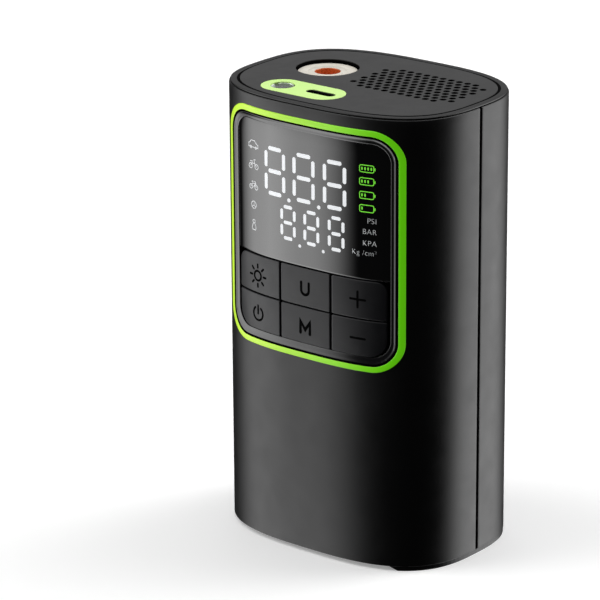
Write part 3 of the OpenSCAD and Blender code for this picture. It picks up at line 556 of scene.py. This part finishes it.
def half_profile(side, outer_inset, inner_inset):
    """C-shaped section of one shell: outer line, rounded seam edges, inner line."""
    corner = 0.3 * MM
    y_cut = SEAM_GAP / 2
    skip = 0.012
    outer = even_outline(skip, math.pi - skip, OUTLINE_STEP)
    outer = [(p, n) for p, n in outer if p.y > y_cut + corner * 1.2]
    line = [p + n * outer_inset for p, n in outer]
    x_end = superellipse(0.0)[0].x - outer_inset
    start = [Vector((x_end - corner * (1 - s), y_cut + corner * (1 - c)))
             for s, c in quarter(4)]
    end = [Vector((-p.x, p.y)) for p in reversed(start)]
    inner = [p + n * inner_inset for p, n in reversed(outer)]
    x_in = superellipse(0.0)[0].x - inner_inset
    tail = [Vector((-x_in, y_cut))] + inner + [Vector((x_in, y_cut))]
    return [(p.x, p.y * side) for p in start + line + end + tail]


def shell_rings(side):
    """Sections of one shell from its rounded foot up to the seat of the rim frame."""
    low, high = shell_low.z, shell_high.z
    foot_round, top_round = 0.2 * MM, 0.3 * MM
    seat_inset, seat_z = 1.0 * MM, TOP_Z - 3 * MM
    levels = [(foot_round * (1 - s), WALL, low + foot_round * (1 - c)) for s, c in quarter(4)]
    levels += [(0, WALL, seat_z), (0, seat_inset, seat_z)]
    levels += [(top_round * (1 - c), seat_inset, high - top_round * (1 - s))
               for s, c in quarter(3)]
    return [[(x, y, z) for x, y in half_profile(side, outer, inner)]
            for outer, inner, z in levels]


def ring_outline(inset):
    """The lime ring's outer edge, moved inwards."""
    return corner_outline(ring_low.x, ring_high.x, ring_low.z, ring_high.z, [RING_R] * 4,
                          inset, RING_STEPS)


def cut_panel_opening(shell):
    """Cuts the window for the front panel out of the front shell."""
    slack, behind, before = 0.05 * MM, 4 * MM, -3 * MM
    bm = flat_plate(ring_outline, [(-slack, behind), (-slack, before)])
    wrap(bm)
    bmesh.ops.recalc_face_normals(bm, faces=bm.faces[:])
    mesh = bpy.data.meshes.new("window_cutter")
    bm.to_mesh(mesh)
    bm.free()
    cutter = bpy.data.objects.new("window_cutter", mesh)
    bpy.context.scene.collection.objects.link(cutter)
    cut = shell.modifiers.new("window", "BOOLEAN")
    cut.operation = "DIFFERENCE"
    cut.solver = "EXACT"
    cut.object = cutter
    graph = bpy.context.evaluated_depsgraph_get()
    opened = bpy.data.meshes.new_from_object(shell.evaluated_get(graph))
    shell.modifiers.clear()
    shell.data = opened
    mark_smooth(opened)
    bpy.data.objects.remove(cutter)


def add_seam_tongue(bm, side):
    """The tongue inside one end of the rear shell that closes the seam to the front shell."""
    reach, thick, slack = 3 * MM, 1.2 * MM, 0.05 * MM
    low, high = shell_low.z + 3 * MM, TOP_Z - 5.5 * MM
    turn, step = 0.1, 0.4 * MM
    ends = [(p, n) for p, n in even_outline(-turn, turn, step) if abs(p.y) <= reach]
    outer = [p + n * (WALL + (slack if p.y < SEAM_GAP else -slack)) for p, n in ends]
    inner = [p + n * (WALL + thick) for p, n in reversed(ends)]
    rings = [[(side * p.x, p.y, z) for p in outer + inner] for z in (low, high)]
    strip = loft(rings)
    mesh = bpy.data.meshes.new("tongue")
    strip.to_mesh(mesh)
    strip.free()
    bm.from_mesh(mesh)
    bpy.data.meshes.remove(mesh)


def build_casing():
    """Front and rear shell."""
    front = add_piece("front_casing", loft(shell_rings(-1)), BODY, FINISH["shell"],
                      ["front_shell"])
    cut_panel_opening(front)
    rear = loft(shell_rings(1))
    for side in (-1, 1):
        add_seam_tongue(rear, side)
    add_piece("rear_casing", rear, BODY, FINISH["shell"], ["rear_shell"])


def build_rim():
    """Rim frame with the ledge under the cover, and a near-black strip in the gap between rim and
    cover as painted shade.
    """
    outer_round, inner_round, groove = 0.22 * MM, 0.1 * MM, 2.15 * MM

    def placed(points):
        return [(inset * MM, TOP_Z + z * MM) for inset, z in points]

    section = placed([(1.05, -3.0), (1.05, -0.32), (0.32, -0.32)])
    section += [(RIM_EDGE_INSET + outer_round * (1 - c), TOP_Z - outer_round * (1 - s))
                for s, c in quarter(4)]
    section += [(groove - inner_round * (1 - s), TOP_Z - inner_round * (1 - c))
                for s, c in quarter(3)]
    section += placed([(2.15, -2.0), (4.6, -2.0), (4.6, -4.5), (2.1, -4.5), (2.1, -3.0)])
    add_piece("rim_frame", loft(swept(section), closed=True), BODY, FINISH["shell"],
              ["top_frame"])
    # near-black strip in the groove between rim and cover: painted shade
    strip = placed([(2.1, -1.2), (2.1, -0.06), (2.75, -0.06), (2.75, -1.2)])
    add_piece("rim_gap", loft(swept(strip), closed=True), BODY, FINISH["gap"])


def swept(section):
    """(inset, z) section repeated round the whole body outline."""
    outline = even_outline(0, 2 * math.pi, OUTLINE_STEP)[:-1]
    return [[(p.x + n.x * inset, p.y + n.y * inset, z) for inset, z in section]
            for p, n in outline]


# ---- front panel ----

def window_outline(inset):
    """The ring's outline inset, and beyond the bezel's crest a little more at top and bottom."""
    crest, below, above = 2.3 * MM, 0.5 * MM, 0.3 * MM
    spread = min(1.0, max(0.0, (inset - crest) / (WINDOW_INSET - crest)))
    return corner_outline(ring_low.x, ring_high.x, ring_low.z + below * spread,
                          ring_high.z - above * spread, [RING_R] * 4, inset, RING_STEPS)


def swept_frame(name, profile, finish, replaces=(), outline=ring_outline):
    """A closed frame: (inset, depth) section swept round an outline."""
    rings = [[(x, depth, z) for x, z in outline(inset)] for inset, depth in profile]
    bm = loft(rings, closed=True)
    wrap(bm)
    add_piece(name, bm, BODY, finish, replaces)


def build_panel_frames():
    """Lime ring, a near-black strip in the gap inside it as painted shade, and the sloped bezel;
    depths are from the shell.
    """
    front, width, back = -0.2 * MM, 1.6 * MM, 1.9 * MM
    outer_round, inner_round = 0.25 * MM, 0.12 * MM
    ring = [(0.0, back)]
    ring += [(outer_round * (1 - c), front + outer_round * (1 - s)) for s, c in quarter(5)]
    ring += [(width - inner_round * (1 - s), front + inner_round * (1 - c))
             for s, c in quarter(4)]
    ring += [(width, back)]
    swept_frame("lime_ring", ring, FINISH["lime"], ["panel_ring"])
    # near-black strip between ring and bezel: painted shade
    gap = [(1.5, 1.7), (1.5, -0.1), (1.74, -0.08), (1.85, 0.2), (2.3, 0.5), (2.3, 1.7)]
    swept_frame("panel_gap", [(i * MM, d * MM) for i, d in gap], FINISH["gap"])
    bezel = [(1.65, 3.0), (1.65, 1.8), (2.16, 1.8), (2.16, 0.16), (2.18, 0.1), (2.23, 0.06),
             (2.28, 0.07), (2.54, 0.29), (2.78, 0.42), (3.1, 0.5), (3.42, 0.56), (3.47, 0.6),
             (3.45, 0.7), (3.2, 0.84), (3.2, 3.0)]
    swept_frame("inner_bezel", [(i * MM, d * MM) for i, d in bezel],
                FINISH["bezel"], ["panel_bezel"], window_outline)


def build_lens():
    """Smoked lens: it falls away softly to the sides and top, but not above the keys."""
    thick, reach, drop = 1.5 * MM, 3.2 * MM, 0.2 * MM
    small_r = 0.4 * MM
    radii = [small_r, small_r, WINDOW_R, WINDOW_R]

    def outline(inset):
        bottom = lens_low.z - inset + min(inset, small_r)
        return corner_outline(lens_low.x, lens_high.x, bottom, lens_high.z, radii, inset)

    profile = [(0.0, FACE_DEPTH + thick)]
    profile += [(reach * (1 - c), FACE_DEPTH + drop * (1 - s)) for s, c in quarter(12)]
    bm = flat_plate(outline, profile)
    wrap(bm)
    add_piece("smoked_lens", bm, BODY, FINISH["display_glass"],
              ["display_lens"])


def build_keys():
    """Six caps; the outer corners of the block are rounder than the inner ones."""
    thick, fillet = 2 * MM, 0.35 * MM
    inner_r, top_r, bottom_r = 0.5 * MM, 3 * MM, 5 * MM
    outer_corners = {"power": (0, bottom_r), "minus": (1, bottom_r), "plus": (2, top_r),
                     "light": (3, top_r)}
    for key in ("light", "unit", "plus", "power", "mode", "minus"):
        low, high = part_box(key + "_button")
        radii = [inner_r] * 4
        if key in outer_corners:
            corner, radius = outer_corners[key]
            radii[corner] = radius

        def outline(inset, low=low, high=high, radii=radii):
            return corner_outline(low.x, high.x, low.z, high.z, radii, inset)

        bm = flat_plate(outline, plate_profile(FACE_DEPTH, FACE_DEPTH + thick, fillet))
        wrap(bm)
        add_piece(key + "_cap", bm, key + "_key", FINISH["button"],
                  [key + "_button"])


# ---- drawings on keys and lens: millimetres, x across and z up from the shells' edge ----

def key_icons():
    """Strokes of each key's sign, by key."""
    bold, bolder, fine = 0.78, 0.9, 0.62
    cx, cz = -17.3, 74.6
    sun = [(circle(cx, cz, 1.35), fine, True)]
    for k in range(8):
        a = math.radians(45 * k)
        ray = [(cx + r * math.cos(a), cz + r * math.sin(a)) for r in (2.3, 3.15)]
        sun.append((ray, fine, False))
    letter_u = [([(-1.3, 76.4), (-1.3, 74.3)] + arc(0, 74.3, 1.3, 180, 360, 12)[1:]
                 + [(1.3, 76.4)], bold, False)]
    plus = [([(14.9, 75), (19.3, 75)], fine, False), ([(17.1, 72.8), (17.1, 74.7)], fine, False),
            ([(17.1, 75.3), (17.1, 77.2)], fine, False)]
    px, pz = -17.3, 63.8
    power = [(arc(px, pz, 1.9, 125, 415, 28), fine, False),
             ([(px, pz), (px, pz + 2.3)], fine, False)]
    letter_m = [([(-1.6, 62.1), (-1.6, 65.3), (0, 63.1), (1.6, 65.3), (1.6, 62.1)],
                 bolder, False)]
    minus = [([(15.0, 64.1), (19.2, 64.1)], fine, False)]
    return {"light": sun, "unit": letter_u, "plus": plus, "power": power, "mode": letter_m,
            "minus": minus}


def seven_segments(cx, half_w, z_top, z_mid, z_bottom, width, gap):
    """The seven bars of one digit."""
    bars = [([(cx - half_w + gap, z), (cx + half_w - gap, z)], width, False)
            for z in (z_top, z_mid, z_bottom)]
    for side in (-1, 1):
        for a, b in ((z_top, z_mid), (z_mid, z_bottom)):
            x = cx + side * half_w
            bars.append(([(x, a - gap), (x, b + gap)], width, False))
    return bars


def dot(x, z, width):
    """A stroke so short that only its round ends show."""
    half = 0.01
    return ([(x - half, z), (x + half, z)], width, False)


def display_strokes():
    """Two rows of three digits with their points."""
    lit = []
    for cx in (-10.3, -0.25, 10.0):
        lit += seven_segments(cx, 3.2, 111.65, 105.4, 99.2, 1.12, 1.45)
    for cx in (-5.7, 2.3, 10.5):
        lit += seven_segments(cx, 2.2, 96.4, 92.05, 87.7, 0.95, 1.2)
    lit += [dot(-5.31, 98.4, 1.1), dot(4.84, 98.4, 1.1)]
    lit += [dot(-1.66, 86.4, 0.9), dot(6.3, 86.4, 0.9)]
    return lit


def battery_strokes():
    """Four battery pictures with four bars down to one."""
    x, half_w, half_h, corner = 19.75, 2.0, 0.95, 0.45
    strokes = []
    for bars, z in ((4, 111.4), (3, 107.9), (2, 104.15), (1, 100.5)):
        case = corner_outline(x - half_w, x + half_w, z - half_h, z + half_h,
                              [corner] * 4, steps=4)
        strokes.append((case, 0.24, True))
        tip_x = x + half_w + 0.3
        strokes.append(([(tip_x, z - 0.25), (tip_x, z + 0.25)], 0.3, False))
        for k in range(bars):
            bx = x - half_w + 0.7 + k * 0.87
            strokes.append(([(bx, z - 0.22), (bx, z + 0.22)], 0.42, False))
    return strokes


def side_icons():
    """Faint outline pictures: car, motorbike, bicycle, ball and a skittle."""
    x, w = -18.6, 0.22
    car = [([(x - 1.95, 110.5), (x + 1.95, 110.5), (x + 1.95, 111.3), (x + 1.2, 111.6),
             (x + 0.5, 112.35), (x - 0.9, 112.35), (x - 1.5, 111.65), (x - 1.95, 111.5)], w, True),
           (circle(x - 1.05, 110.45, 0.33, 10), w, True),
           (circle(x + 1.05, 110.45, 0.33, 10), w, True)]
    motorbike = [(circle(x - 1.2, 105.2, 0.7, 14), w, True),
                 (circle(x + 1.25, 105.2, 0.7, 14), w, True),
                 ([(x - 1.2, 105.2), (x - 0.6, 106.0), (x + 0.5, 106.0), (x + 1.25, 105.2)],
                  w, False),
                 ([(x - 1.3, 106.5), (x - 0.4, 106.5)], w, False),
                 ([(x + 0.5, 106.0), (x + 0.2, 107.0), (x + 0.8, 107.1)], w, False)]
    bicycle = [(circle(x - 1.1, 99.4, 0.62, 14), w, True),
               (circle(x + 1.1, 99.4, 0.62, 14), w, True),
               ([(x - 1.1, 99.4), (x - 0.45, 100.4), (x + 0.75, 100.4), (x, 99.4)], w, False),
               ([(x + 1.1, 99.4), (x + 0.7, 100.9), (x + 0.3, 101.0)], w, False),
               ([(x - 0.75, 100.85), (x - 0.2, 100.85)], w, False)]
    ball = [(circle(x, 94.4, 1.0, 20), w, True),
            ([(x - 0.55, 93.9), (x + 0.05, 94.3), (x + 0.1, 95.0)], w, False),
            ([(x + 0.05, 94.3), (x + 0.6, 94.0)], w, False)]
    figure = [(circle(x, 89.75, 0.5, 12), w, True),
              ([(x - 0.3, 89.2), (x - 0.85, 87.9), (x - 0.6, 87.4), (x + 0.6, 87.4),
                (x + 0.85, 87.9), (x + 0.3, 89.2)], w, False)]
    return car + motorbike + bicycle + ball + figure


def unit_labels():
    """Names of pressure units, set in the built-in plain typeface."""
    size, right_edge = 2.12 * MM, 22.6 * MM
    for text, z in (("PSI", 97.1), ("BAR", 94.1), ("KPA", 90.9), ("Kg /cm²", 88.2)):
        curve = bpy.data.curves.new("unit_text", "FONT")
        curve.body = text
        curve.size = size
        curve.align_x = "RIGHT"
        curve.align_y = "CENTER"
        curve.extrude = 0.02 * MM
        curve.offset = -0.052 * MM
        curve.space_character = 1.08
        holder = bpy.data.objects.new("unit_text", curve)
        mesh = bpy.data.meshes.new_from_object(holder)
        bpy.data.objects.remove(holder)
        bm = bmesh.new()
        bm.from_mesh(mesh)
        for v in bm.verts:
            x, up, out = v.co
            v.co = (right_edge + x, FACE_DEPTH - out, z * MM + DRAWN_Z + up)
        wrap(bm)
        add_piece("unit_" + text[:2].lower(), bm, BODY, FINISH["dim_light"])


def build_drawings():
    """Signs on the keys and lit marks on the lens, as thin inlays."""
    half_thick = 0.03 * MM
    front, back = FACE_DEPTH - half_thick, FACE_DEPTH + half_thick
    for key, strokes in key_icons().items():
        drawing(key + "_icon", strokes, key + "_key", FINISH["icon"], front, back)
    drawing("lit_digits", display_strokes(), BODY, FINISH["display_light"],
            front, back)
    drawing("battery_marks", battery_strokes(), BODY, FINISH["green_light"], front, back)
    drawing("side_marks", side_icons(), BODY, FINISH["faint_print"], front, back)
    unit_labels()


# ---- top details ----

def build_torch():
    """Parabolic reflector."""
    rim, throat, floor_t, steps = 0.6 * MM, 1.7 * MM, 2 * MM, 12
    x = (torch_low.x + torch_high.x) / 2
    y = (torch_low.y + torch_high.y) / 2
    r_out = (torch_high.x - torch_low.x) / 2
    low, high = torch_low.z, torch_high.z
    spread, rise = r_out - rim - throat, high - low - floor_t
    dish = [(throat + spread * k / steps, low + floor_t + rise * (k / steps) ** 2)
            for k in range(steps + 1)]
    profile = [(throat, low), (r_out, low), (r_out, high)] + dish[::-1]
    # its finish paints a bright reflection and a dark arc
    add_piece("torch_dish", lathe(profile, x, y), BODY, FINISH["reflector"],
              ["torch_reflector"])


def build_outlet():
    """Ivory ring with a fine groove, and the copper collar that shows inside it."""
    x, y = (outlet_low.x + outlet_high.x) / 2, (outlet_low.y + outlet_high.y) / 2
    r, top, low = outlet_high.x - x, outlet_high.z, outlet_low.z
    bore, neck, lip, edge = 3.6 * MM, 4.3 * MM, 0.14 * MM, 0.35 * MM
    profile = [(bore, top - lip), (neck, top - lip), (neck, low), (r, low)]
    profile += [(r - edge * (1 - c), top - edge * (1 - s)) for s, c in quarter(4)]
    groove_r, groove_half, groove_depth = 5.5 * MM, 0.2 * MM, 0.12 * MM
    profile += [(groove_r + groove_half, top), (groove_r, top - groove_depth),
                (groove_r - groove_half, top)]
    profile += [(bore + lip * (1 - s), top - lip * (1 - c)) for s, c in quarter(4)]
    add_piece("ivory_outlet_ring", lathe(profile, x, y, 128), BODY, FINISH["ivory"],
              ["outlet_ring"])
    high, below = top - 0.18 * MM, top - 0.9 * MM
    collar = [(3.52 * MM, below), (4.1 * MM, below), (4.25 * MM, high), (3.6 * MM, high),
              (3.52 * MM, high - 0.08 * MM)]
    add_piece("outlet_collar", lathe(collar, x, y, 96), BODY, FINISH["copper"])


# ---- stage ----

def smooth_step(tree, value, low, high, rising=True):
    """Eases from 0 to 1 between two values, or from 1 to 0."""
    made = tree.nodes.new("ShaderNodeMapRange")
    made.interpolation_type = "SMOOTHSTEP"
    made.inputs["From Min"].default_value = low
    made.inputs["From Max"].default_value = high
    made.inputs["To Min"].default_value = 0.0 if rising else 1.0
    made.inputs["To Max"].default_value = 1.0 if rising else 0.0
    tree.links.new(value, made.inputs["Value"])
    return made.outputs["Result"]


def build_world():
    """Soft studio: broad lit panels round the object, given by azimuth in degrees from -Y."""
    world = bpy.data.worlds.new("studio")
    bpy.context.scene.world = world
    world.use_nodes = True
    tree = world.node_tree
    background = tree.nodes["Background"]
    coord = tree.nodes.new("ShaderNodeTexCoord")
    split = tree.nodes.new("ShaderNodeSeparateXYZ")
    tree.links.new(coord.outputs["Generated"], split.inputs[0])
    x, y, z = split.outputs
    azimuth = maths(tree, "MULTIPLY", maths(tree, "ARCTAN2", x, maths(tree, "MULTIPLY", y, -1)),
                    180 / math.pi)
    wrapped = maths(tree, "MODULO", maths(tree, "ADD", azimuth, 360), 360)
    panels = [(azimuth, (-90, -62), (-48, -16), 2.9), (wrapped, (112, 144), (150, 184), 3.5)]
    total = 0.02
    for angle, rise, fall, strength in panels:
        lit = maths(tree, "MULTIPLY", smooth_step(tree, angle, *rise),
                    smooth_step(tree, angle, *fall, rising=False))
        total = maths(tree, "ADD", total, maths(tree, "MULTIPLY", lit, strength))
    behind = maths(tree, "MULTIPLY", smooth_step(tree, wrapped, 150, 215),
                   smooth_step(tree, wrapped, 235, 262, rising=False))
    above = smooth_step(tree, z, 0.02, 0.2)
    glow = maths(tree, "MULTIPLY", maths(tree, "MULTIPLY", behind, above), 0.40)
    total = maths(tree, "ADD", total, glow)
    total = maths(tree, "ADD", total, smooth_step(tree, z, 0.75, 0.95))
    path = tree.nodes.new("ShaderNodeLightPath")
    backdrop = 0.97
    mix = tree.nodes.new("ShaderNodeMix")
    mix.data_type = "FLOAT"
    tree.links.new(path.outputs["Is Camera Ray"], mix.inputs[0])
    tree.links.new(total, mix.inputs[2])
    mix.inputs[3].default_value = backdrop
    tree.links.new(mix.outputs[0], background.inputs["Strength"])
    background.inputs["Color"].default_value = (1, 1, 1, 1)


def see_from_below(finish):
    """Lets the camera see the object's underside through the floor."""
    tree = finish.node_tree
    out = next(n for n in tree.nodes if n.type == "OUTPUT_MATERIAL")
    above = out.inputs["Surface"].links[0].from_socket
    mix = tree.nodes.new("ShaderNodeMixShader")
    side = tree.nodes.new("ShaderNodeNewGeometry")
    clear = tree.nodes.new("ShaderNodeBsdfTransparent")
    tree.links.new(side.outputs["Backfacing"], mix.inputs[0])
    tree.links.new(above, mix.inputs[1])
    tree.links.new(clear.outputs[0], mix.inputs[2])
    tree.links.new(mix.outputs[0], out.inputs["Surface"])


def build_floor():
    """Pale ground that catches the shadow but stays out of the reflections."""
    size = 3.0
    mesh = bpy.data.meshes.new("floor")
    corners = [(-size, -size, 0), (size, -size, 0), (size, size, 0), (-size, size, 0)]
    mesh.from_pydata(corners, [], [(0, 1, 2, 3)])
    floor = bpy.data.objects.new("floor", mesh)
    bpy.context.scene.collection.objects.link(floor)
    finish = material("pale_floor", (0.86, 0.86, 0.86), (0.85, 0.85, 0.85), rough=(0.8, 0.9),
                      blotch=4, glow=0.3)
    see_from_below(finish)
    mesh.materials.append(finish)
    floor.visible_glossy = False
    floor.visible_diffuse = False


def build_camera():
    """The camera looks past the object, so that it sits right of the picture's middle."""
    azimuth, elevation = math.radians(37.79), math.radians(19.0)
    aside, below = math.radians(1.08683), math.radians(0.07625)
    distance, focal_length = 0.9838, 215.508
    target = Vector((0, 0, DRAWN_Z + 62.7 * MM))
    back = Vector((math.sin(azimuth) * math.cos(elevation),
                   -math.cos(azimuth) * math.cos(elevation), math.sin(elevation)))
    data = bpy.data.cameras.new("camera")
    data.sensor_width = 36
    data.lens = focal_length
    camera = bpy.data.objects.new("camera", data)
    bpy.context.scene.collection.objects.link(camera)
    turn = Matrix.Rotation(aside, 4, "Y")
    tilt = Matrix.Rotation(below, 4, "X")
    aim = back.to_track_quat("Z", "Y").to_matrix().to_4x4()
    camera.matrix_world = Matrix.Translation(target + back * distance) @ aim @ turn @ tilt
    bpy.context.scene.camera = camera


finish_cad_nodes()
build_casing()
build_rim()
build_panel_frames()
build_lens()
build_keys()
build_drawings()
build_torch()
build_outlet()
build_world()
build_floor()
build_camera()
bpy.context.scene.view_settings.view_transform = "Standard"

bpy.context.view_layer.update()
